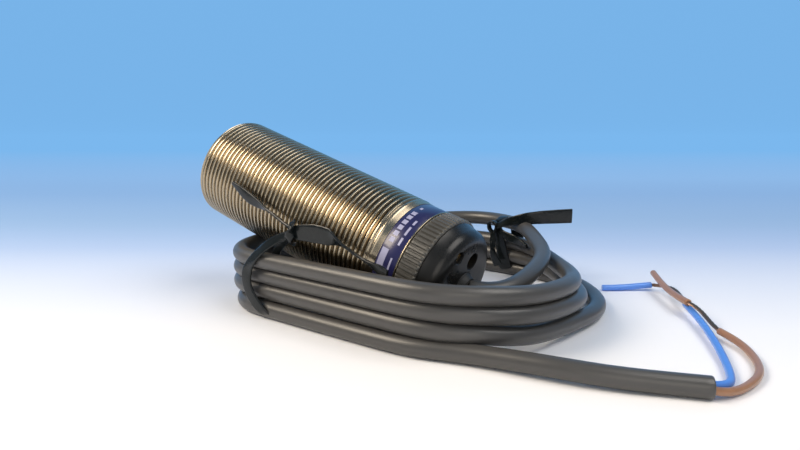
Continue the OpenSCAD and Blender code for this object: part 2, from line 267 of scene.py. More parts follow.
@dataclass(frozen=True)
class Finish:
    """A finish: what a surface is made of, how it was made, and what that gives the eye."""

    name: str
    colour: str
    shade: str
    rough: tuple[float, float]
    pattern: Pattern
    grain: float
    depth: float
    metallic: float = 0.0
    ior: float = 1.5
    coat: float = 0.0
    coat_rough: float = 0.05
    sheen: float = 0.0
    clear: float = 0.0
    # A darker colour painted into the grooves as shade, mixed in by a mesh attribute; empty for none.
    groove: str = ""

    def material(self) -> bpy.types.Material:
        """The finish's material, made once."""
        found = bpy.data.materials.get(self.name)
        return found or self.build()

    def build(self) -> bpy.types.Material:
        """Builds the node tree: two tones mixed by noise, painted shade in the grooves where the finish
        has a colour for it, roughness by noise, and a fine bump.
        """
        made = bpy.data.materials.new(self.name)
        made.use_nodes = True
        tree = made.node_tree
        tree.nodes.clear()
        where = add_node(tree, "ShaderNodeTexCoord").outputs["Object"]
        cloud = add_node(tree, "ShaderNodeTexNoise",
                         {"Vector": where, "Scale": 1000 / (self.grain * 14), "Detail": 5.0,
                          "Roughness": 0.6})
        tone = add_node(tree, "ShaderNodeMix", {"Factor": cloud.outputs["Fac"], 6: linear(self.colour),
                                                7: linear(self.shade)}, data_type="RGBA").outputs[2]
        # Painted shade: the groove colour darkens the surface where the mesh attribute is high, in the
        # thread's roots.
        if self.groove:
            painted_shade_share = add_node(tree, "ShaderNodeAttribute", attribute_name="groove").outputs["Fac"]
            tone = add_node(tree, "ShaderNodeMix", {"Factor": painted_shade_share, 6: tone, 7: linear(self.groove)},
                            data_type="RGBA").outputs[2]
        fine = self.fine(tree, where)
        rough = add_node(tree, "ShaderNodeMapRange",
                         {"Value": cloud.outputs["Fac"], "From Min": 0.3, "From Max": 0.7,
                                                      "To Min": self.rough[0], "To Max": self.rough[1]})
        bump = add_node(tree, "ShaderNodeBump",
                        {"Height": fine, "Distance": self.depth * MM, "Strength": 1.0})
        skin = add_node(tree, "ShaderNodeBsdfPrincipled",
                        {"Base Color": tone, "Roughness": rough.outputs["Result"],
                         "Metallic": self.metallic, "IOR": self.ior, "Coat Weight": self.coat,
                         "Coat Roughness": self.coat_rough, "Sheen Weight": self.sheen,
                         "Transmission Weight": self.clear, "Normal": bump.outputs["Normal"]})
        add_node(tree, "ShaderNodeOutputMaterial", {"Surface": skin.outputs["BSDF"]})
        return made

    def fine(self, tree: bpy.types.NodeTree, where: bpy.types.NodeSocket) -> bpy.types.NodeSocket:
        """The height of the finish's fine pattern.

        Args:
            tree: The material's node tree.
            where: The position on the piece.

        Returns:
            The height, from 0 to 1.
        """
        stretch = {Pattern.TURNED: (1.0, 1.0, 1.0), Pattern.MOULDED: (1, 1, 1),
                   Pattern.SPARKED: (1, 1, 1), Pattern.EXTRUDED: (0.25, 0.25, 1.0),
                   Pattern.DRAWN: (0.3, 0.3, 1.0), Pattern.FILM: (1, 1, 1)}
        lie = add_node(tree, "ShaderNodeMapping", {"Vector": where, "Scale": stretch[self.pattern]})
        if self.pattern is Pattern.SPARKED:
            cells = add_node(tree, "ShaderNodeTexVoronoi",
                             {"Vector": lie.outputs["Vector"], "Scale": 1000 / self.grain},
                             feature="SMOOTH_F1")
            return cells.outputs["Distance"]
        noise = add_node(tree, "ShaderNodeTexNoise",
                         {"Vector": lie.outputs["Vector"], "Scale": 1000 / self.grain,
                                                      "Detail": 4.0, "Roughness": 0.55})
        return noise.outputs["Fac"]


# Turned brass with satin nickel plate: warm grey, soft glints, and painted shade that darkens the thread's
# roots.
NICKEL = Finish("nickel_plated_brass", "#b6a890", "#a79a84", (0.2, 0.3), Pattern.TURNED, 0.35, 0.006,
                metallic=1.0, groove="#332c24")
# Plated and rolled bright steel of the cable clamp.
PLATED = Finish("plated_steel", "#b4b1aa", "#9b9892", (0.24, 0.36), Pattern.DRAWN, 0.3, 0.004,
                metallic=1.0)
# Glossy moulded polyamide: black with soft long glares and a faint flow mark.
CAP_BLACK = Finish("moulded_black_polyamide", "#161615", "#1f1e1c", (0.22, 0.34), Pattern.MOULDED, 1.6,
                   0.01, ior=1.42)
# Glass-filled polyamide of the ribbed ring: duller, greyish, with a fine grain.
RING_GREY = Finish("glass_filled_polyamide", "#44423e", "#595752", (0.3, 0.42), Pattern.SPARKED, 0.18,
                   0.012, ior=1.5)
# PBT of the sensing face: matt with a fine spark-eroded grain.
FACE_PBT = Finish("moulded_pbt", "#2b2c2e", "#36373a", (0.42, 0.55), Pattern.SPARKED, 0.25, 0.02)
# Extruded PVC jacket: dark grey, satin, with a fine lengthwise flow that breaks up the glare.
JACKET = Finish("extruded_pvc_jacket", "#434240", "#4e4c4a", (0.31, 0.42), Pattern.EXTRUDED, 0.9, 0.02,
                ior=1.52, coat=0.1, coat_rough=0.25)
JACKET_CORE = Finish("cut_pvc_filler", "#2a2c2d", "#3c3f40", (0.6, 0.8), Pattern.SPARKED, 0.2, 0.05)
# Extruded PVC core insulation: saturated, smooth and slightly glossy.
BLUE_PVC = Finish("blue_pvc_insulation", "#5a92ea", "#4f86de", (0.26, 0.36), Pattern.EXTRUDED, 0.6, 0.012,
                  ior=1.53, coat=0.2, coat_rough=0.2)
BROWN_PVC = Finish("brown_pvc_insulation", "#a97b5a", "#9a6e4e", (0.28, 0.38), Pattern.EXTRUDED, 0.6,
                   0.012, ior=1.53, coat=0.2, coat_rough=0.2)
# Drawn copper wire: bright pinkish metal with lengthwise draw lines.
COPPER = Finish("drawn_copper_wire", "#a98a73", "#8d7160", (0.3, 0.44), Pattern.DRAWN, 0.12, 0.004,
                metallic=1.0)
# Coated ribbon of the ties: near black, glossy and a little wavy, so its glints are broken.
TIE_PLASTIC = Finish("coated_tie_ribbon", "#0f1314", "#181d1e", (0.16, 0.28), Pattern.FILM, 1.6, 0.09,
                     ior=1.4)
# Printed polyester film: dark violet blue under a clear gloss.
LABEL_FILM = Finish("printed_polyester_film", "#1d1d4a", "#242454", (0.26, 0.34), Pattern.FILM, 1.2,
                    0.006, coat=0.3, coat_rough=0.1)
LABEL_PALE = Finish("pale_print", "#a9a9c6", "#9d9dbb", (0.35, 0.45), Pattern.FILM, 0.8, 0.003)
# Moulded nitrile rubber: black and matt.
RUBBER = Finish("moulded_nitrile_rubber", "#161616", "#202020", (0.5, 0.66), Pattern.MOULDED, 0.5, 0.02)
# Sintered ferrite: dark grey, fine grit.
FERRITE = Finish("sintered_ferrite", "#2e2f32", "#3b3c40", (0.5, 0.65), Pattern.SPARKED, 0.2, 0.03)
BOBBIN = Finish("natural_polyamide_spool", "#d8d0b4", "#cbc2a4", (0.4, 0.5), Pattern.MOULDED, 0.8, 0.01)
# Cast epoxy: dark and glassy, with a wavy meniscus.
RESIN = Finish("cast_epoxy", "#15191a", "#1f2526", (0.12, 0.22), Pattern.MOULDED, 2.4, 0.04, coat=0.3)
# Glass epoxy laminate under green solder mask: weave shows faintly.
BOARD = Finish("green_solder_mask", "#12512c", "#1a6236", (0.28, 0.4), Pattern.SPARKED, 0.4, 0.008,
               coat=0.3)
CHIP = Finish("epoxy_moulding_compound", "#1d1d1e", "#29292a", (0.45, 0.6), Pattern.SPARKED, 0.15, 0.01)
SLEEVE = Finish("shrunk_pet_sleeve", "#141f4a", "#1b2759", (0.2, 0.3), Pattern.FILM, 1.5, 0.01, coat=0.4)
VARISTOR = Finish("dipped_epoxy_coating", "#24509c", "#1d458c", (0.3, 0.45), Pattern.MOULDED, 1.0, 0.04)
LAMP = Finish("smoked_clear_epoxy", "#5c4a2a", "#6a5631", (0.08, 0.14), Pattern.MOULDED, 1.0, 0.004,
              clear=0.4)
TRIMMER_BLUE = Finish("blue_diallyl_phthalate", "#153a8c", "#1c449b", (0.3, 0.42), Pattern.MOULDED, 0.6,
                      0.01)
BRASS = Finish("turned_brass", "#c9a55a", "#b8934a", (0.2, 0.32), Pattern.TURNED, 0.2, 0.004,
               metallic=1.0)
WIPER = Finish("orange_acetal", "#cf7a26", "#c26f20", (0.35, 0.45), Pattern.MOULDED, 0.6, 0.008)
CERMET = Finish("fired_cermet_track", "#1a1a1c", "#2a2a2e", (0.5, 0.65), Pattern.SPARKED, 0.2, 0.01)


# ---------------------------------------------------------------------------------------------
# Routes and tubes
# ---------------------------------------------------------------------------------------------


def rounded(points: np.ndarray, step: float, blur: float) -> np.ndarray:
    """Resamples a route at even steps and rounds its corners.

    Args:
        points: The route's points, in metres.
        step: The distance between the new points, in metres.
        blur: How far the rounding reaches along the route, in metres.

    Returns:
        The new points, with the same two ends.
    """
    dense = points
    for _ in range(2):
        run = np.concatenate([[0], np.cumsum(np.linalg.norm(np.diff(dense, axis=0), axis=1))])
        count = max(8, int(round(run[-1] / step)) + 1)
        even = np.linspace(0, run[-1], count)
        dense = np.stack([np.interp(even, run, dense[:, k]) for k in range(3)], 1)
        reach = max(1, int(round(blur / step)))
        weights = np.exp(-0.5 * (np.arange(-3 * reach, 3 * reach + 1) / reach) ** 2)
        weights /= weights.sum()
        pad = 3 * reach
        head = 2 * dense[0] - dense[1:pad + 1][::-1] if len(dense) > pad + 1 else None
        if head is None:
            break
        tail = 2 * dense[-1] - dense[-pad - 1:-1][::-1]
        long = np.concatenate([head, dense, tail])
        dense = np.stack([np.convolve(long[:, k], weights, "valid") for k in range(3)], 1)
    return dense


def directions(path: np.ndarray) -> tuple[np.ndarray, np.ndarray, np.ndarray]:
    """Works out a frame at each point of a path that doesn't twist.

    Args:
        path: The path's points.

    Returns:
        The unit directions along the path, and the two across it.
    """
    along = np.gradient(path, axis=0)
    along /= np.linalg.norm(along, axis=1)[:, None]
    start = np.cross((0, 0, 1), along[0])
    if np.linalg.norm(start) < 1e-6:
        start = np.array((1.0, 0, 0))
    across = [start / np.linalg.norm(start)]
    for t in along[1:]:
        v = across[-1] - t * (across[-1] @ t)
        across.append(v / np.linalg.norm(v))
    first = np.array(across)
    return along, first, np.cross(along, first)


def tube(name: str, path: np.ndarray, radius: float, sides: int = 24,
         lip: float = 0.25) -> bpy.types.Mesh:
    """A round tube along a path, with rounded rims at both ends.

    Args:
        name: The mesh's name.
        path: The centreline, in metres.
        radius: The tube's radius, in metres.
        sides: The number of sides.
        lip: The rims' rounding, as a share of the radius.

    Returns:
        The tube's mesh, closed at both ends.
    """
    along, first, second = directions(path)
    centres, radii = [], []
    frames = []
    for k, shrink in ((0.0, 1 - lip), (0.3, 1 - lip * 0.3), (1.0, 1.0)):
        centres.append(path[0] + along[0] * lip * radius * k)
        radii.append(radius * shrink)
        frames.append(0)
    for k in range(1, len(path) - 1):
        centres.append(path[k])
        radii.append(radius)
        frames.append(k)
    for k, shrink in ((1.0, 1.0), (0.3, 1 - lip * 0.3), (0.0, 1 - lip)):
        centres.append(path[-1] - along[-1] * lip * radius * k)
        radii.append(radius * shrink)
        frames.append(len(path) - 1)
    turn = np.linspace(0, 2 * math.pi, sides, endpoint=False)
    ring = (np.cos(turn)[None, :, None] * first[frames][:, None, :]
            + np.sin(turn)[None, :, None] * second[frames][:, None, :])
    points = np.array(centres)[:, None, :] + np.array(radii)[:, None, None] * ring
    return grid_mesh(name, points, caps=True, crease=50)


def ribbon(name: str, path: np.ndarray, flat: np.ndarray, widths: np.ndarray,
           thick: float) -> bpy.types.Mesh:
    """A flat ribbon with a rounded section along a path.

    Args:
        name: The mesh's name.
        path: The centreline, in metres.
        flat: At each point, the direction across the ribbon's width.
        widths: At each point, the ribbon's width in metres.
        thick: The ribbon's thickness in metres.

    Returns:
        The ribbon's mesh, closed at both ends.
    """
    along = np.gradient(path, axis=0)
    along /= np.linalg.norm(along, axis=1)[:, None]
    wide = flat - along * np.sum(flat * along, 1)[:, None]
    wide /= np.linalg.norm(wide, axis=1)[:, None]
    normal = np.cross(along, wide)
    turn = np.linspace(0, 2 * math.pi, 20, endpoint=False)
    c, s = np.cos(turn), np.sin(turn)
    across = np.sign(c) * np.abs(c) ** 0.35
    through = np.sign(s) * np.abs(s) ** 0.7
    points = (path[:, None, :] + (widths / 2)[:, None, None] * across[None, :, None] * wide[:, None, :]
              + thick / 2 * through[None, :, None] * normal[:, None, :])
    return grid_mesh(name, points, caps=True, crease=60)


@dataclass(frozen=True)
class Turn:
    """One turn of the coil: how far it stands out on each side, and its height, in millimetres.

    Its bulge is the share of the wide circle that the bend on its right side takes, from 0 to 1.
    """

    right: float
    back: float
    left: float
    front: float
    bulge: float
    heights: tuple[float, float, float, float]  # right, back, left, front

    def spread(self, angle: float) -> float:
        """How far the turn stands out in a direction of the plan, in radians."""
        lobes = [max(0.0, math.cos(angle - k * math.pi / 2)) ** 2 for k in range(4)]
        return self.right * lobes[0] + self.back * lobes[1] + self.left * lobes[2] + self.front * lobes[3]


class CableRoute:
    """The cable's centreline: from the sensor, round the coil from the top down, to its cut end."""

    # The loose stretches' points, in metres, as the CAD has them.
    lead = [(0.0421, 0, 0.0119), (0.0446, 0.0002, 0.0113), (0.0472, 0.0016, 0.0112),
            (0.0492, 0.0044, 0.0114), (0.0502, 0.008, 0.0118), (0.0504, 0.013, 0.0124),
            (0.0503, 0.019, 0.0131), (0.0496, 0.025, 0.0138), (0.0486, 0.03, 0.0145),
            (0.047, 0.035, 0.0152)]
    tail = [(0.043, -0.0166, 0.0023), (0.049, -0.0148, 0.0023), (0.056, -0.0134, 0.0025),
            (0.064, -0.0124, 0.0029), (0.072, -0.011, 0.0029), (0.079, -0.009, 0.0026),
            (0.086, -0.006, 0.0024), (0.091, -0.0038, 0.0023), (0.096, -0.0018, 0.0023)]
    # The circles that the coil's turns run round, in millimetres: x, y and radius.
    circles = ((-13.5, -1.5, 17.0), (34.0, 8.0, 26.5), (14.0, 33.0, 26.5))
    wide = (36.5, 30.5, 27.8)  # the circle that the lower bends also run round on the right
    turns = (
        Turn(0.5, 1.5, -2.0, 0.6, 0.2, (12.8, 18.0, 15.5, 15.5)),
        Turn(1.0, 0.0, -0.4, -0.3, 0.35, (8.2, 11.25, 10.8, 11.2)),
        Turn(0.4, -0.6, 0.1, -0.5, 0.88, (2.5, 6.75, 6.5, 6.85)),
        Turn(0.0, -0.3, -3.6, 0.4, 0.0, (2.25, 2.25, 2.25, 2.25)),
    )
    enter = 44.0    # direction in which the lead joins the coil, in degrees
    leave = 288.0   # direction in which the tail leaves the last turn
    step = 3.0

    def outline(self, angle: float, circles: tuple) -> tuple[float, float]:
        """The coil's outline in one direction: the circle that reaches furthest, softly blended.

        Args:
            angle: The direction in the plan, in radians.
            circles: The circles to run round, each as x, y and radius in millimetres.

        Returns:
            The outline's x and y in millimetres.
        """
        nx, ny = math.cos(angle), math.sin(angle)
        reach = [x * nx + y * ny + r for x, y, r in circles]
        weights = [math.exp(0.6 * (value - max(reach))) for value in reach]
        total = sum(weights)
        x = sum(w * (c[0] + c[2] * nx) for w, c in zip(weights, circles)) / total
        y = sum(w * (c[1] + c[2] * ny) for w, c in zip(weights, circles)) / total
        return x, y

    def height(self, index: int, degrees: float) -> float:
        """The height of a turn in a direction, in degrees from the right through the back.

        Args:
            index: The turn.
            degrees: The direction, from 0 to 360. Past 270 the turn comes down to the next one.

        Returns:
            The centreline's height in millimetres.
        """
        if degrees > 270:
            index, degrees = index + 1, degrees - 360
        here = self.turns[min(index, len(self.turns) - 1)].heights
        last = self.turns[max(index - 1, 0)].heights
        stations = [(-90.0, last[3]), (-45.0, 0.8 * last[3] + 0.2 * last[0]), (0.0, last[0]),
                    (48.0, here[1]), (90.0, here[1]), (180.0, here[2]), (270.0, here[3])]
        places, values = zip(*stations)
        return float(np.interp(degrees, places, values))

    def coil(self) -> list[tuple[float, float, float]]:
        """The coil's points in metres, from where the lead joins to where the tail leaves."""
        points = []
        last = 360.0 * (len(self.turns) - 1) + self.leave
        steps = int((last - self.enter) / self.step)
        for k in range(steps + 1):
            degrees = self.enter + (last - self.enter) * k / steps
            index = int(degrees // 360)
            within = degrees - 360 * index
            angle = math.radians(within)
            # A turn's own spread takes over from the last turn's on the right-hand side.
            share = min(1.0, max(0.0, within / 75)) if index else 1.0
            before = self.turns[max(index - 1, 0)]
            spread = before.spread(angle) * (1 - share) + self.turns[index].spread(angle) * share
            near = np.array(self.outline(angle, self.circles))
            far = np.array(self.outline(angle, (*self.circles, self.wide)))
            bend = index if within >= 180 else index - 1
            opened = self.turns[bend].bulge if bend >= 0 else 0.0
            x, y = near + (far - near) * opened
            out = (x + spread * math.cos(angle), y + spread * math.sin(angle))
            points.append((out[0] * MM, out[1] * MM, self.height(index, within) * MM))
        return points

    def path(self) -> np.ndarray:
        """The whole centreline at even steps, in metres."""
        rough = np.array(self.lead + self.coil() + self.tail, float)
        path = rounded(rough, 0.0015, 0.0035)
        path[:, 2] = np.maximum(path[:, 2], 0.00226)
        return path


@dataclass(frozen=True)
class Cable:
    """The cable with its cut end: jacket, two cores, their bare strands and the loose sleeves."""

    diameter: float = 0.0045
    core: float = 0.0017
    strand: float = 0.00036
    loose: float = 0.0018
    blue: tuple = ((0.0955, -0.0009, 0.0023), (0.0982, 0.002, 0.0016), (0.0984, 0.006, 0.0011),
                   (0.0974, 0.011, 0.001), (0.0954, 0.018, 0.0012), (0.0926, 0.026, 0.0016),
                   (0.089, 0.035, 0.002), (0.0854, 0.043, 0.0022), (0.082, 0.05, 0.0023))
    blue_bare: tuple = ((0.082, 0.05, 0.0023), (0.0796, 0.057, 0.0026), (0.077, 0.0626, 0.0026),
                        (0.0734, 0.066, 0.0022), (0.0696, 0.066, 0.0018))
    blue_loose: tuple = ((0.0696, 0.066, 0.0018), (0.0672, 0.0646, 0.0015), (0.0636, 0.0618, 0.0011),
                         (0.0604, 0.059, 0.00092), (0.0574, 0.0572, 0.00092))
    brown: tuple = ((0.0955, -0.0029, 0.0021), (0.0988, -0.0004, 0.0012), (0.101, 0.0056, 0.0009),
                    (0.1024, 0.011, 0.0009), (0.1025, 0.0166, 0.0009), (0.101, 0.0224, 0.001),
                    (0.0986, 0.0274, 0.0013), (0.0956, 0.0312, 0.0016), (0.0924, 0.0336, 0.0019))
    brown_bare: tuple = ((0.0924, 0.0336, 0.0019), (0.0902, 0.0364, 0.0024), (0.0882, 0.0404, 0.0032),
                         (0.086, 0.0438, 0.0039), (0.0834, 0.0456, 0.0041))
    brown_loose: tuple = ((0.0834, 0.0456, 0.0041), (0.08, 0.0504, 0.0038), (0.076, 0.057, 0.0036),
                          (0.072, 0.0646, 0.004), (0.069, 0.0704, 0.0046))

    def build(self) -> None:
        path = CableRoute().path()
        jacket = place("cable_jacket", tube("cable_jacket", path, self.diameter / 2, 28, 0.16), JACKET,
                       ("cable_lead", "cable_coil", "cable_tail"))
        filler = self.filler(path)
        for name, finish, slot in (("blue", BLUE_PVC, "blue_insulation"),
                                   ("brown", BROWN_PVC, "brown_insulation")):
            self.core_pieces(name, finish)

    def filler(self, path: np.ndarray) -> bpy.types.Object:
        """The cut face inside the jacket's rim, seen between the cores.

        Args:
            path: The cable's centreline in metres.

        Returns:
            The piece.
        """
        end = path[-1]
        along = path[-1] - path[-3]
        along = along / np.linalg.norm(along)
        line = np.array([end - along * 0.0009, end - along * 0.0003, end + along * 0.00012])
        return place("jacket_filler", tube("jacket_filler", line, self.diameter / 2 * 0.74, 24, 0.2),
                     JACKET_CORE)

    def core_pieces(self, name: str, finish: Finish) -> tuple:
        """One core with its bare strands and its loose sleeve.

        Args:
            name: The core's colour name, as in this class's routes.
            finish: The insulation's finish.

        Returns:
            The core's piece, its path, and the pieces on it.
        """
        route = rounded(np.array(getattr(self, name), float), 0.001, 0.002)
        core = place(f"{name}_core_insulation", tube(f"{name}_core", route, self.core / 2, 20, 0.12),
                     finish, (f"{name}_core",))
        bare = rounded(np.array(getattr(self, f"{name}_bare"), float), 0.0008, 0.0016)
        lead_in = route[-1] - (route[-1] - route[-2]) * 1.2
        strands = place(f"{name}_copper_strands", self.strands(np.vstack([lead_in, bare])), COPPER,
                        (f"{name}_strands",))
        loose = rounded(np.array(getattr(self, f"{name}_loose"), float), 0.001, 0.002)
        sleeve = place(f"{name}_loose_sleeve", tube(f"{name}_sleeve", loose, self.loose / 2, 20, 0.14),
                       finish, (f"{name}_slug",))
        return core, route, [strands, sleeve]

    def strands(self, path: np.ndarray) -> bpy.types.Mesh:
        """Seven fine wires laid up with a long twist.

        Args:
            path: The wires' common centreline in metres.

        Returns:
            The wires as one mesh.
        """
        path = rounded(path, 0.0005, 0.001)
        _, first, second = directions(path)
        run = np.concatenate([[0], np.cumsum(np.linalg.norm(np.diff(path, axis=0), axis=1))])
        wires = [tube("wire", path, self.strand / 2, 8, 0.1)]
        for k in range(6):
            turn = 2 * math.pi * (k / 6 + run / 0.009)
            loose = self.strand * (0.98 + 0.1 * np.sin(run / 0.003 + k))
            across = np.cos(turn)[:, None] * first + np.sin(turn)[:, None] * second
            line = path + loose[:, None] * across
            wires.append(tube("wire", line, self.strand / 2, 8, 0.1))
        return join_meshes("strands", wires)


# ---------------------------------------------------------------------------------------------
# The sensor
# ---------------------------------------------------------------------------------------------


def turned(name: str, sensor: SensorFrame, profile: np.ndarray, sides: int,
           radius: Optional[Callable[[np.ndarray, np.ndarray, np.ndarray], np.ndarray]] = None,
           centre: tuple[float, float] = (0.0, 0.0), crease: float = 32.0) -> bpy.types.Mesh:
    """Turns a closed profile about the sensor's axis.

    Args:
        name: The mesh's name.
        sensor: The sensor's frame.
        profile: The profile's points as radius and distance from the front face, in millimetres.
        sides: The number of columns round the axis.
        radius: Changes the radius, from arrays of radius, distance and angle.
        centre: The axis's place across the sensor, in millimetres.
        crease: The angle in degrees above which an edge stays sharp.

    Returns:
        The mesh, in the shared frame.
    """
    turn = np.linspace(0, 2 * math.pi, sides, endpoint=False)[None, :]
    r = np.repeat(profile[:, :1], sides, 1)
    s = np.repeat(profile[:, 1:], sides, 1)
    if radius:
        r = radius(r, s, np.repeat(turn, len(profile), 0))
    local = np.stack([centre[0] + r * np.cos(turn), centre[1] + r * np.sin(turn), s], -1) * MM
    mesh = grid_mesh(name, local, wrap_rows=True, crease=crease)
    mesh.transform(sensor.matrix())
    return mesh


def arc(centre: tuple[float, float], radius: float, start: float, end: float, count: int) -> list:
    """Points of an arc of a profile, from start to end in degrees."""
    angles = np.radians(np.linspace(start, end, count))
    return [(centre[0] + radius * math.cos(a), centre[1] + radius * math.sin(a)) for a in angles]


@dataclass(frozen=True)
class Barrel:
    """The threaded sleeve and the printed band in its recess."""

    radius: float = 15.0
    pitch: float = 1.5
    depth: float = 0.87
    start: float = 0.8
    end: float = 64.1
    land: float = 14.75
    recess: float = 14.5
    recess_start: float = 66.55
    recess_end: float = 72.15
    length: float = 72.5
    bore: float = 13.3
    rows_in_pitch: int = 14

    def thread(self, r: np.ndarray, s: np.ndarray, turn: np.ndarray) -> np.ndarray:
        """The thread's radius: flat crests, straight flanks and rounded roots on a true helix.

        Args:
            r: The profile's radius at each point, in millimetres.
            s: How far each point is behind the front face, in millimetres.
            turn: Each point's angle in radians.

        Returns:
            The radius with the thread cut into it.
        """
        phase = ((s - self.start) / self.pitch - turn / (2 * math.pi)) % 1.0
        wave = np.abs(2 * phase - 1)
        cut = smooth(0.24, 0.98, 1 - wave)
        fade = (smooth(self.start - 0.3, self.start + 0.9, s)
                * (1 - smooth(self.end - 0.9, self.end + 0.5, s)))
        return np.where(r > self.bore + 0.9, r - self.depth * cut * fade * (r > self.land + 0.01), r)

    def profile(self) -> np.ndarray:
        """The sleeve's closed profile, with chamfered edges."""
        rows = int((self.end + 1.0 - self.start) / self.pitch * self.rows_in_pitch)
        crest = [(self.radius, s) for s in np.linspace(self.start, self.end + 0.6, rows)]
        rim = [(self.bore + 0.25, 0.0), (14.05, 0.0), (14.2, 0.06), (14.85, 0.68)]
        rear = [(14.9, self.end + 0.8), (self.land, self.end + 1.0), (self.land, self.recess_start - 0.1),
                (self.land - 0.08, self.recess_start), (self.recess, self.recess_start + 0.02),
                (self.recess, self.recess_end - 0.02), (self.land - 0.08, self.recess_end),
                (self.land, self.recess_end + 0.08), (self.land, self.length - 0.1),
                (self.land - 0.1, self.length), (self.bore, self.length), (self.bore, self.length - 4),
                (self.bore, 20.0), (self.bore, 0.25)]
        return np.array(rim + crest + rear)

    def build(self, sensor: SensorFrame) -> None:
        """Makes the sleeve and the band, and dresses them, with painted shade in the thread's roots.

        Args:
            sensor: The sensor's frame.
        """
        mesh = turned("barrel", sensor, self.profile(), 168, self.thread, crease=60)
        local = np.array([sensor.matrix().inverted() @ v.co for v in mesh.vertices]) / MM
        radial = np.hypot(local[:, 0], local[:, 1])
        threaded = (local[:, 2] > self.start) & (local[:, 2] < self.end + 0.6) & (radial > self.bore + 0.5)
        # Painted shade for the thread's roots: 0 on the crests and outside the thread, up to 1 at the
        # deepest part of each groove.
        depth = np.where(threaded, np.clip((self.radius - radial) / self.depth, 0, 1) ** 2.4, 0.0)
        groove = mesh.attributes.new("groove", "FLOAT", "POINT")
        groove.data.foreach_set("value", depth.astype(np.float32))
        place("barrel_sleeve", mesh, NICKEL, ("barrel",))
        self.band(sensor)

    def band(self, sensor: SensorFrame) -> None:
        """The printed film with its plain pale marks in place of print.

        Args:
            sensor: The sensor's frame.
        """
        low, high = self.recess_start + 0.07, self.recess_end - 0.07
        film = self.recess + 0.17
        profile = np.array([(self.recess + 0.02, low), (film - 0.03, low), (film, low + 0.05),
                            (film, high - 0.05), (film - 0.03, high), (self.recess + 0.02, high)])
        place("label_film", turned("label_film", sensor, profile, 168), LABEL_FILM,
              ("label_band",))
        marks = [(-90, -66, 0.4, 2.2), (-59, -54, 0.9, 2.2), (-52, -47, 0.9, 2.2), (-45, -40, 0.9, 2.2),
                 (-38, -33, 0.9, 2.2), (-31, -26, 0.9, 2.2), (-24, -19, 0.9, 2.2), (-59, -51, 3.5, 4.1),
                 (-48, -38, 3.5, 4.1), (-35, -29, 3.5, 4.1), (-88, -72, 3.6, 4.1), (-12, -8, 1.2, 1.9),
                 (36, 58, 1.2, 3.2)]
        meshes = [self.mark(sensor, film, math.radians(a), math.radians(b), low + c, low + d)
                  for a, b, c, d in marks]
        place("label_marks", join_meshes("label_marks", meshes), LABEL_PALE)

    def mark(self, sensor: SensorFrame, radius: float, start: float, end: float, low: float,
             high: float) -> bpy.types.Mesh:
        """One raised plain mark on the film, between two angles and two distances.

        Args:
            sensor: The sensor's frame.
            radius: The film's radius in millimetres.
            start: Where the mark starts, in radians from the top.
            end: Where the mark ends, in radians from the top.
            low: How far its front edge is behind the front face, in millimetres.
            high: How far its rear edge is behind the front face, in millimetres.

        Returns:
            The mark's mesh.
        """
        turn = math.pi - np.linspace(start, end, 14)
        inner, outer = radius - 0.02, radius + 0.02
        edge = [(inner, low), (outer, low), (outer, high), (inner, high)]
        rows = np.array([[(r * math.cos(a), r * math.sin(a), s) for r, s in edge] for a in turn]) * MM
        mesh = grid_mesh("mark", rows, caps=True)
        mesh.transform(sensor.matrix())
        return mesh


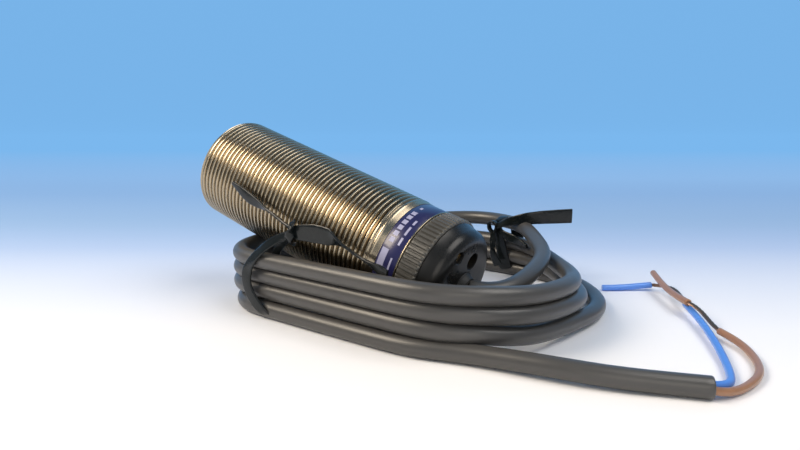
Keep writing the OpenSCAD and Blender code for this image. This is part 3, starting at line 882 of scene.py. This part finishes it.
@dataclass(frozen=True)
class RearEnd:
    """The ribbed ring, the domed cap, the grommet and the lamp's light guide."""

    ring_start: float = 72.6
    ring_end: float = 77.8
    ring_radius: float = 14.8
    ribs: int = 72
    rib: float = 0.45
    neck: float = 13.2
    dome_start: float = 77.85
    dome_end: float = 83.25
    dome_front: float = 14.2
    dome: float = 13.6
    face: float = 10.4
    wall: float = 1.8
    grommet: float = 3.6
    cable: float = 2.25
    screw: tuple[float, float] = (-6.2, 1.6)
    screw_bore: float = 2.2
    lamp: tuple[float, float] = (-8.6, -5.6)
    lamp_bore: float = 1.5

    def ring(self, sensor: SensorFrame) -> None:
        """The ribbed ring: rounded ribs that run out at both chamfers.

        Args:
            sensor: The sensor's frame.
        """
        r, low, high = self.ring_radius, self.ring_start, self.ring_end
        body = [(r - 0.42, low), (r - 0.12, low + 0.2), (r, low + 0.45)]
        body += [(r, s) for s in np.linspace(low + 0.7, high - 0.7, 8)]
        body += [(r, high - 0.45), (r - 0.12, high - 0.2), (r - 0.42, high), (self.neck + 0.05, high),
                 (self.neck + 0.05, low)]

        def ribbed(radius: np.ndarray, s: np.ndarray, turn: np.ndarray) -> np.ndarray:
            """Lowers the surface between the ribs."""
            wave = 0.5 + 0.5 * np.cos(turn * self.ribs)
            valley = 1 - smooth(0.15, 0.62, wave)
            run_out = smooth(low, low + 0.4, s) * (1 - smooth(high - 0.4, high, s))
            return radius - np.where(radius > self.neck + 0.5, self.rib * valley * run_out, 0)

        place("grip_ring_ribs",
              turned("grip_ring", sensor, np.array(body), self.ribs * 10, ribbed, crease=50), RING_GREY,
              ("grip_ring",))

    def cap(self, sensor: SensorFrame) -> None:
        """The cap: spigot, neck and dome in one moulding, with three chamfered holes.

        Args:
            sensor: The sensor's frame.
        """
        bore, curve = 13.25, self.dome - self.face
        inner = self.neck - self.wall
        centre = (self.face, self.dome_end - curve)
        profile = [(inner, 67.5), (bore - 0.3, 67.5), (bore, 67.8), (bore, 69.0), (12.4, 69.0),
                   (12.4, 70.1), (bore, 70.1), (bore, 72.4), (self.neck, 72.5),
                   (self.neck, self.dome_start), (self.dome_front - 0.25, self.dome_start),
                   (self.dome_front, self.dome_start + 0.25)]
        profile += arc(centre, curve, 0, 90, 14)
        profile += [(self.face - 2.5, self.dome_end), (self.face - 5.0, self.dome_end),
                    (0.02, self.dome_end), (0.02, self.dome_end - self.wall),
                    (inner - 2.4, self.dome_end - self.wall)]
        profile += arc((inner - 2.4, self.dome_end - self.wall - 2.4), 2.4, 80, 0, 5)
        mesh = turned("rear_cap", sensor, np.array(profile), 144, crease=28)
        cutters = [self.cutter(sensor, (0.0, 0.0), self.grommet + 0.02, 0.15),
                   self.cutter(sensor, self.screw, self.screw_bore, 0.15),
                   self.cutter(sensor, self.lamp, self.lamp_bore, 0.12)]
        place("rear_cap_moulding", with_holes(mesh, cutters), CAP_BLACK, ("rear_cap",))

    def cutter(self, sensor: SensorFrame, centre: tuple[float, float], radius: float,
               flare: float) -> bpy.types.Mesh:
        """A drill with a countersink that meets the cap's rear face.

        Args:
            sensor: The sensor's frame.
            centre: The hole's centre across the cap, in millimetres.
            radius: The hole's radius in millimetres.
            flare: The countersink's width and depth in millimetres.

        Returns:
            The drill's mesh.
        """
        face = self.dome_end
        profile = np.array([(0.01, face - 4), (radius, face - 4), (radius, face - flare),
                            (radius + flare, face), (radius + flare, face + 0.5), (0.01, face + 0.5)])
        return turned("cutter", sensor, profile, 48, centre=centre)

    def sleeve(self, sensor: SensorFrame) -> None:
        """The rubber grommet: a collar in the cap and a tapered lip round the cable.

        Args:
            sensor: The sensor's frame.
        """
        face, bore, r = self.dome_end, self.cable + 0.03, self.grommet
        profile = [(bore, face - 6.9), (r, face - 6.9), (r, face + 0.15)]
        profile += arc((r - 0.25, face + 0.15), 0.25, 0, 80, 5)
        profile += [(self.cable + 0.75, face + 1.0), (self.cable + 0.5, face + 1.6)]
        profile += arc((self.cable + 0.27, face + 1.62), 0.18, 20, 160, 6)
        place("grommet_sleeve", turned("grommet", sensor, np.array(profile), 64), RUBBER,
              ("cable_grommet",))

    def light(self, sensor: SensorFrame) -> None:
        """The clear plug of the indicator lamp, with a crowned end.

        Args:
            sensor: The sensor's frame.
        """
        end = self.dome_end - 0.7
        r = self.lamp_bore - 0.02
        profile = [(0.01, end - 2.8), (r, end - 2.8), (r, end - 0.35)]
        profile += arc((r - 0.35, end - 0.35), 0.35, 0, 70, 5) + [(0.6, end + 0.02), (0.01, end + 0.04)]
        place("light_guide_plug", turned("light_guide", sensor, np.array(profile), 40, centre=self.lamp),
              LAMP, ("light_guide",))

    def build(self, sensor: SensorFrame) -> None:
        """Makes every piece of the rear end.

        Args:
            sensor: The sensor's frame.
        """
        self.ring(sensor)
        self.cap(sensor)
        self.sleeve(sensor)
        self.light(sensor)


@dataclass(frozen=True)
class FrontEnd:
    """The plastic cup whose floor is the sensing face."""

    radius: float = 13.25
    inner: float = 11.9
    depth: float = 12.0
    back: float = 0.3
    floor: float = 2.0

    def build(self, sensor: SensorFrame) -> None:
        """Makes the cup, with a fine raised ring on its face.

        Args:
            sensor: The sensor's frame.
        """
        r, b = self.radius, self.back
        profile = [(0.02, b + 0.1), (6.6, b + 0.1), (6.9, b), (11.7, b), (12.0, b + 0.12),
                   (12.4, b + 0.12), (12.7, b), (r - 0.2, b), (r, b + 0.2), (r, 8.0), (12.35, 8.0),
                   (12.35, 9.1), (r, 9.1), (r, self.depth - 0.3), (r - 0.3, self.depth),
                   (self.inner, self.depth), (self.inner, self.floor), (0.02, self.floor)]
        place("sensing_face_cup", turned("sensing_face", sensor, np.array(profile), 120, crease=25),
              FACE_PBT, ("sensing_face",))


class Internals:
    """The pieces inside the sensor: CAD nodes that keep their shape and get their finishes."""

    finishes = {
        "front_seal": RUBBER, "rear_seal": RUBBER, "ferrite_core": FERRITE, "coil_bobbin": BOBBIN,
        "coil_winding": COPPER, "potting_resin": RESIN, "circuit_board": BOARD, "oscillator_chip": CHIP,
        "bridge_rectifier": CHIP, "switching_thyristor": CHIP, "smoothing_capacitor": SLEEVE,
        "surge_varistor": VARISTOR, "chip_resistors": CHIP, "status_led": LAMP,
        "trimmer_housing": TRIMMER_BLUE, "trimmer_end_plate": TRIMMER_BLUE, "resistive_strip": CERMET,
        "trimmer_screw": BRASS, "trimmer_wiper": WIPER, "cable_clamp": PLATED, "inner_cable": JACKET,
        "inner_leads": BLUE_PVC,
    }

    def build(self) -> None:
        """Gives each carried-over node its finish."""
        for node, finish in self.finishes.items():
            piece = frame["nodes"][node]
            material = finish.material()
            if piece.material_slots:
                for place_for in piece.material_slots:
                    place_for.material = material
            else:
                piece.data.materials.append(material)


class Ties:
    """The two flat ties: each a band round the coil, twisted shut, with its ends left long."""

    thick = 0.00075

    def strip(self, name: str, stops: Sequence[tuple], blur: float = 0.002) -> bpy.types.Mesh:
        """A ribbon through listed stops.

        Args:
            name: The mesh's name.
            stops: Each stop's point in metres, its width in millimetres, and its width's direction.
            blur: How far the rounding reaches along the ribbon, in metres.

        Returns:
            The ribbon's mesh.
        """
        points = np.array([s[0] for s in stops], float)
        run = np.concatenate([[0], np.cumsum(np.linalg.norm(np.diff(points, axis=0), axis=1))])
        path = rounded(points, 0.0006, blur)
        here = np.concatenate([[0], np.cumsum(np.linalg.norm(np.diff(path, axis=0), axis=1))])
        share = here / here[-1] * run[-1]
        widths = np.interp(share, run, [s[1] * MM for s in stops])
        flat = np.stack([np.interp(share, run, [s[2][k] for s in stops]) for k in range(3)], 1)
        return ribbon(name, path, flat, widths, self.thick)

    def front(self) -> None:
        """The tie at the front of the coil, with its knot against the barrel."""
        up, lean = (0, 0, 1), (0.5, 0, 0.9)
        band = [((0.0012, -0.0188, 0.0236), 2.0, (0.5, 0, -0.9)),
                ((-0.0035, -0.0198, 0.0219), 2.5, (0.6, -0.2, -0.8)),
                ((-0.008, -0.0209, 0.0186), 2.9, (0.8, -0.4, -0.4)),
                ((-0.0118, -0.0216, 0.0145), 3.2, (1, -0.2, -0.2)),
                ((-0.0134, -0.0218, 0.0112), 3.3, (1, 0.1, 0)),
                ((-0.0128, -0.0214, 0.0072), 3.3, (1, 0, 0.2)),
                ((-0.0092, -0.0217, 0.004), 3.3, (0.9, 0, 0.4)),
                ((-0.0062, -0.0216, 0.0014), 3.1, (0.9, 0, 0.2)),
                ((-0.005, -0.0198, 0.0005), 3.1, (1, 0, 0)), ((-0.0055, -0.0172, 0.0006), 3.1, (1, 0, 0)),
                ((-0.0075, -0.0155, 0.003), 3.0, (1, 0, 0.2)),
                ((-0.009, -0.0153, 0.009), 2.8, (1, 0, 0.2)),
                ((-0.0085, -0.0155, 0.0155), 2.6, (1, 0, 0)),
                ((-0.0055, -0.0165, 0.0196), 2.3, (0.8, 0, -0.5)),
                ((0.0004, -0.0178, 0.0228), 1.8, (0.5, 0, -0.9))]
        left_end = [((0.0022, -0.0182, 0.0242), 2.4, lean),
                    ((-0.001, -0.0178, 0.0256), 1.8, (0.5, -0.8, 0.4)),
                    ((-0.0045, -0.0174, 0.0271), 1.4, (0.3, -0.9, 0.2)),
                    ((-0.0085, -0.0172, 0.0288), 1.6, (0.4, -0.7, 0.5)),
                    ((-0.0118, -0.0171, 0.03), 2.4, (0.3, -0.2, 0.9)),
                    ((-0.015, -0.0171, 0.031), 3.0, up), ((-0.018, -0.017, 0.0326), 2.6, (0.5, 0, 0.8)),
                    ((-0.0202, -0.017, 0.034), 1.9, (0.6, -0.2, 0.8)),
                    ((-0.022, -0.017, 0.035), 0.9, (0.6, -0.2, 0.8))]
        right_end = [((0.0004, -0.018, 0.0236), 2.6, up), ((0.0035, -0.0179, 0.0243), 4.0, up),
                     ((0.0085, -0.0177, 0.0245), 4.8, up), ((0.013, -0.0175, 0.0243), 4.4, (0.2, 0, 1)),
                     ((0.0158, -0.0174, 0.0234), 2.8, (0.2, -0.6, 0.8)),
                     ((0.0186, -0.0174, 0.0222), 1.7, (0.2, -0.9, 0.4)),
                     ((0.022, -0.0174, 0.0207), 1.5, (0.1, -1, 0.3)),
                     ((0.0255, -0.0175, 0.0194), 1.7, (0.3, -0.6, 0.7)),
                     ((0.0285, -0.0176, 0.0184), 2.4, (0.3, 0, 0.9)),
                     ((0.0308, -0.0177, 0.0178), 1.8, (0.3, 0, 0.9))]
        twist = [((0.001, -0.0175, 0.0266), 2.0, (1, 0, 0.2)),
                 ((0.0024, -0.019, 0.025), 2.6, (0.4, -0.4, 0.8)),
                 ((0.0014, -0.0197, 0.023), 2.4, (-0.6, -0.3, 0.7)),
                 ((0.0002, -0.0185, 0.0213), 2.0, (-1, 0.3, 0.3)),
                 ((0.0014, -0.0172, 0.0208), 1.6, (-0.4, 0.6, -0.6))]
        meshes = [self.strip("band", band), self.strip("left_end", left_end, 0.0012),
                  self.strip("right_end", right_end, 0.0014), self.strip("twist", twist, 0.0008)]
        place("front_tie_ribbon", join_meshes("front_tie", meshes), TIE_PLASTIC,
              ("front_tie",))

    def rear(self) -> None:
        """The tie at the back of the coil, with one flat end that stands clear."""
        up = (0, 0, 1)
        band = [((0.0235, 0.0535, 0.0176), 2.2, (1, 0.2, 0)),
                ((0.0238, 0.0542, 0.0135), 2.8, (1, 0.2, 0)), ((0.0245, 0.0548, 0.009), 3.6, (1, 0.2, 0)),
                ((0.0252, 0.0552, 0.004), 4.2, (1, 0.2, 0)), ((0.0255, 0.057, 0.0005), 4.2, (1, 0.2, 0)),
                ((0.0262, 0.0605, 0.0006), 4.2, (1, 0.2, 0)), ((0.0266, 0.0632, 0.004), 4.2, (1, 0.2, 0)),
                ((0.0262, 0.0636, 0.012), 4.2, (1, 0.2, 0)), ((0.0256, 0.0628, 0.0176), 4.0, (1, 0.2, 0)),
                ((0.0248, 0.059, 0.0202), 3.6, (1, 0.2, 0)), ((0.024, 0.0552, 0.0199), 2.6, (1, 0.2, 0)),
                ((0.0235, 0.0532, 0.0186), 2.0, (1, 0.2, 0))]
        flat_end = [((0.0236, 0.0518, 0.0172), 1.8, (0.3, 0.3, 1)),
                    ((0.0262, 0.0508, 0.0186), 2.2, (0, 0.3, 1)), ((0.0302, 0.0502, 0.02), 3.0, up),
                    ((0.0345, 0.0506, 0.0211), 3.8, up), ((0.0385, 0.0528, 0.0216), 4.2, up),
                    ((0.0425, 0.0568, 0.0217), 4.5, up), ((0.0456, 0.0604, 0.0217), 4.6, up)]
        other_end = [((0.0235, 0.0528, 0.0168), 1.8, (1, 0, 0.2)),
                     ((0.0262, 0.0512, 0.015), 2.4, (0.3, -0.2, 0.9)),
                     ((0.03, 0.0508, 0.0142), 2.8, (0.2, 0.2, 1)),
                     ((0.0335, 0.0498, 0.0134), 2.2, (0.2, -0.5, 0.9)),
                     ((0.036, 0.0484, 0.0128), 1.4, (0.1, -0.5, 0.8))]
        eye = [((0.0226 + 0.0016 * math.cos(a), 0.0516, 0.0172 + 0.0019 * math.sin(a)), 2.0, (0.1, 1, 0))
               for a in np.linspace(-1.2, 4.6, 12)]
        drop = [((0.0228, 0.0512, 0.0156), 1.6, (1, 0, 0)),
                ((0.0232, 0.0508, 0.0125), 2.0, (0.8, 0.5, 0.2)),
                ((0.0228, 0.0506, 0.0098), 1.6, (0.4, 0.9, 0)),
                ((0.0236, 0.0512, 0.0068), 2.4, (1, 0.2, 0)),
                ((0.0245, 0.0524, 0.0042), 3.0, (1, 0.2, 0))]
        meshes = [self.strip("band", band), self.strip("flat_end", flat_end, 0.0014),
                  self.strip("other_end", other_end, 0.001), self.strip("eye", eye, 0.0005),
                  self.strip("drop", drop, 0.001)]
        place("rear_tie_ribbon", join_meshes("rear_tie", meshes), TIE_PLASTIC,
              ("rear_tie",))

    def build(self) -> None:
        """Makes both ties."""
        self.front()
        self.rear()


# ---------------------------------------------------------------------------------------------
# The studio
# ---------------------------------------------------------------------------------------------


@dataclass(frozen=True)
class Softbox:
    """A rectangular studio lamp, in metres and watts."""

    name: str
    at: tuple[float, float, float]
    aim: tuple[float, float, float]
    size: tuple[float, float]
    power: float
    colour: str

    def build(self) -> None:
        """Hangs the lamp and aims it."""
        lamp = bpy.data.lights.new(self.name, "AREA")
        lamp.shape = "RECTANGLE"
        lamp.size, lamp.size_y = self.size
        lamp.energy = self.power
        lamp.color = linear(self.colour)[:3]
        holder = bpy.data.objects.new(self.name, lamp)
        bpy.context.scene.collection.objects.link(holder)
        holder.location = self.at
        holder.rotation_euler = (Vector(self.aim) - Vector(self.at)).to_track_quat("-Z", "Y").to_euler()


class Studio:
    """The sweep, the lamps, the sky and the camera."""

    eye = (0.10793, -0.12127, 0.05316)
    look = (-0.5692, 0.8015, -0.1835)
    lens = 26.55
    lamps = (
        Softbox("key", (-0.36, -0.39, 0.53), (0.0, 0.0, 0.03), (0.36, 0.34), 4.7, "#ffefd8"),
        Softbox("side", (0.5, 0.1, 0.75), (0.02, 0.0, 0.0), (0.6, 0.5), 3.7, "#fffaf4"),
        Softbox("front_fill", (0.5, -0.6, 0.3), (0.02, 0.0, 0.02), (0.5, 0.4), 1.2, "#fff6ea"),
    )
    # The floor's tone by distance from the camera: white near it, then blue, flat from far behind.
    tones = ((0.13, "#fdfcfd"), (0.2, "#d7e1f4"), (0.24, "#b5cbec"), (0.29, "#a0bfe3"), (0.4, "#90b6e2"),
             (0.9, "#78b3e8"), (6.0, "#78b3e8"))

    def camera(self) -> None:
        """Sets the camera."""
        data = bpy.data.cameras.new("camera")
        data.lens = self.lens
        data.sensor_width = 36.0
        data.clip_start = 0.005
        data.clip_end = 20.0
        holder = bpy.data.objects.new("camera", data)
        bpy.context.scene.collection.objects.link(holder)
        holder.location = self.eye
        holder.rotation_euler = Vector(self.look).to_track_quat("-Z", "Y").to_euler()
        bpy.context.scene.camera = holder

    def sweep(self) -> None:
        """A floor that runs away from the camera and curves up to a wall far behind."""
        away = Vector((self.look[0], self.look[1], 0)).normalized()
        side = Vector((away.y, -away.x, 0))
        start = Vector((self.eye[0], self.eye[1], 0))
        profile = [(-1.6, 0.0), (-0.4, 0.0), (0.4, 0.0), (1.6, 0.0)]
        profile += [(1.6 + 0.8 * math.sin(a), 0.8 - 0.8 * math.cos(a))
                    for a in np.radians(range(8, 91, 8))]
        profile += [(2.4, 3.0)]
        rows = np.array([[start + away * u + side * v + Vector((0, 0, z)) for v in (-4.0, 4.0)]
                         for u, z in profile])
        mesh = grid_mesh("sweep", rows, wrap_cols=False, crease=80)
        material = bpy.data.materials.new("painted_sweep")
        material.use_nodes = True
        tree = material.node_tree
        tree.nodes.clear()
        where = add_node(tree, "ShaderNodeTexCoord").outputs["Object"]
        far = add_node(tree, "ShaderNodeVectorMath", {0: where, 1: away},
                       operation="DOT_PRODUCT").outputs["Value"]
        near_edge = away.dot(start)
        reach = self.tones[-1][0]
        share = add_node(tree, "ShaderNodeMapRange", {"Value": far, "From Min": near_edge,
                                                      "From Max": near_edge + reach})
        ramp = add_node(tree, "ShaderNodeValToRGB", {"Fac": share.outputs["Result"]})
        stops = ramp.color_ramp.elements
        for index, (distance, code) in enumerate(self.tones):
            stop = stops[index] if index < 2 else stops.new(distance / reach)
            stop.position = distance / reach
            stop.color = linear(code)
        grain = add_node(tree, "ShaderNodeTexNoise", {"Vector": where, "Scale": 400.0, "Detail": 3.0})
        bump = add_node(tree, "ShaderNodeBump", {"Height": grain.outputs["Fac"], "Distance": 0.00002})
        glow = add_node(tree, "ShaderNodeMapRange", {"Value": far, "From Min": near_edge + 0.2,
                                                     "From Max": near_edge + 0.5}).outputs["Result"]
        lit = add_node(tree, "ShaderNodeMix",
                       {"Factor": glow, 6: ramp.outputs["Color"], 7: linear("#000000")},
                       data_type="RGBA").outputs[2]
        paint = add_node(tree, "ShaderNodeBsdfPrincipled",
                         {"Base Color": lit, "Roughness": 0.7, "Specular IOR Level": 0.1,
                          "Emission Color": ramp.outputs["Color"], "Emission Strength": glow,
                          "Normal": bump.outputs["Normal"]})
        add_node(tree, "ShaderNodeOutputMaterial", {"Surface": paint.outputs["BSDF"]})
        mesh.materials.append(material)
        holder = bpy.data.objects.new("sweep", mesh)
        bpy.context.scene.collection.objects.link(holder)

    def sky(self) -> None:
        """Even pale light from all round, bluer above."""
        world = bpy.data.worlds.new("sky")
        bpy.context.scene.world = world
        world.use_nodes = True
        tree = world.node_tree
        tree.nodes.clear()
        where = add_node(tree, "ShaderNodeTexCoord").outputs["Generated"]
        split = add_node(tree, "ShaderNodeSeparateXYZ", {0: where})
        rise = add_node(tree, "ShaderNodeMapRange",
                        {"Value": split.outputs["Z"], "From Min": -0.1, "From Max": 0.5})
        tint = add_node(tree, "ShaderNodeMix", {"Factor": rise.outputs["Result"], 6: linear("#ffffff"),
                                                7: linear("#a9cdf2")}, data_type="RGBA")
        glow = add_node(tree, "ShaderNodeBackground", {"Color": tint.outputs[2], "Strength": 0.29})
        add_node(tree, "ShaderNodeOutputWorld", {"Surface": glow.outputs["Background"]})

    def build(self) -> None:
        """Sets up everything but the camera."""
        bpy.context.scene.view_settings.view_transform = "Standard"
        self.sweep()
        self.sky()
        for lamp in self.lamps:
            lamp.build()


def main() -> None:
    """Builds the camera and the cable first, then the sensor, its insides, the ties and the studio."""
    logging.basicConfig(level=logging.INFO, format="%(name)s: %(message)s")
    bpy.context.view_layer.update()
    studio = Studio()
    studio.camera()
    Cable().build()
    sensor = SensorFrame.from_record()
    for part in (Barrel(), RearEnd(), FrontEnd()):
        part.build(sensor)
        log.info("%s made", type(part).__name__)
    Internals().build()
    log.info("internals dressed")
    Ties().build()
    log.info("ties made")
    studio.build()


if __name__ == "__main__":
    main()
